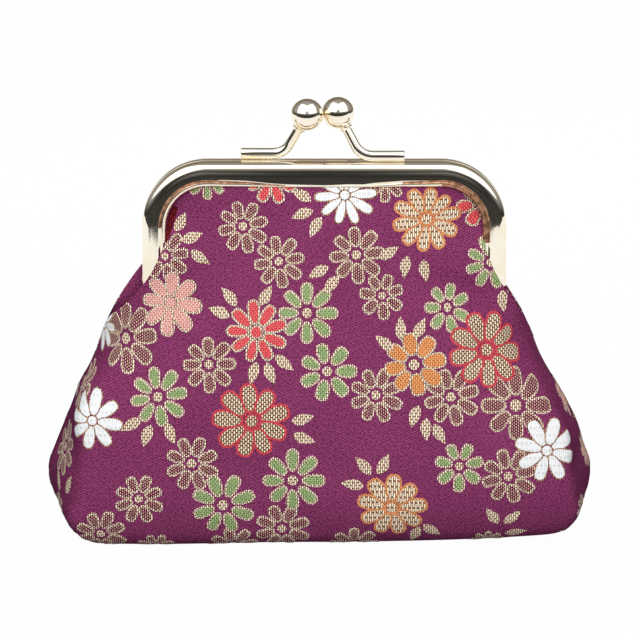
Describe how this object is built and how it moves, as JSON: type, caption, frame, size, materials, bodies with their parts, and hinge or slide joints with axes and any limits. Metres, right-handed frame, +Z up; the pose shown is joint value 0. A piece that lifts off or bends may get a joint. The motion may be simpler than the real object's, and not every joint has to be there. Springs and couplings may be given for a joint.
{
  "type": "clasp purse",
  "caption": "Brocade clasp purse: a soft boxed pouch gripped in two hinged metal frame halves with a ball clasp that snaps shut.",
  "frame": {"origin": "under the middle of the flat base, on the surface that the purse stands on", "axes": "+X along the frame to the right as seen from the front, -Y towards the viewer, +Z up to the clasp"},
  "size_m": [0.1284, 0.0398, 0.1031],
  "materials": {
    "gold_plate": "pale gold plating, mirror polished",
    "brocade": "purple twill brocade with woven flowers in gold, green, white, red and orange",
    "lining": "plain satin",
    "paper_cord": "twisted paper"
  },
  "bodies": {
    "pouch": {"front_outer_pouch": "brocade", "rear_outer_pouch": "brocade", "front_lining_pouch": "lining", "rear_lining_pouch": "lining"},
    "front_half": {"front_frame": "gold_plate", "front_clasp_arm": "gold_plate", "front_clasp_ball": "gold_plate", "front_paper_cord": "paper_cord", "front_outer_mouth": "brocade", "front_lining_mouth": "lining", "left_rivet": "gold_plate", "right_rivet": "gold_plate"},
    "rear_half": {"rear_frame": "gold_plate", "rear_clasp_arm": "gold_plate", "rear_clasp_ball": "gold_plate", "rear_paper_cord": "paper_cord", "rear_outer_mouth": "brocade", "rear_lining_mouth": "lining"}
  },
  "joints": [
    {"name": "front_hinge", "type": "hinge", "parent": "pouch", "child": "front_half", "pos_m": [0, 0, 0.056], "axis": [1, 0, 0], "range_deg": [0, 45], "deforming": ["front_outer_mouth", "front_lining_mouth"]},
    {"name": "rear_hinge", "type": "hinge", "parent": "pouch", "child": "rear_half", "pos_m": [0, 0, 0.056], "axis": [-1, 0, 0], "range_deg": [0, 45], "deforming": ["rear_outer_mouth", "rear_lining_mouth"]}
  ],
  "couplings": [
    {"joint": "rear_hinge", "follows": "front_hinge", "ratio": 1}
  ]
}
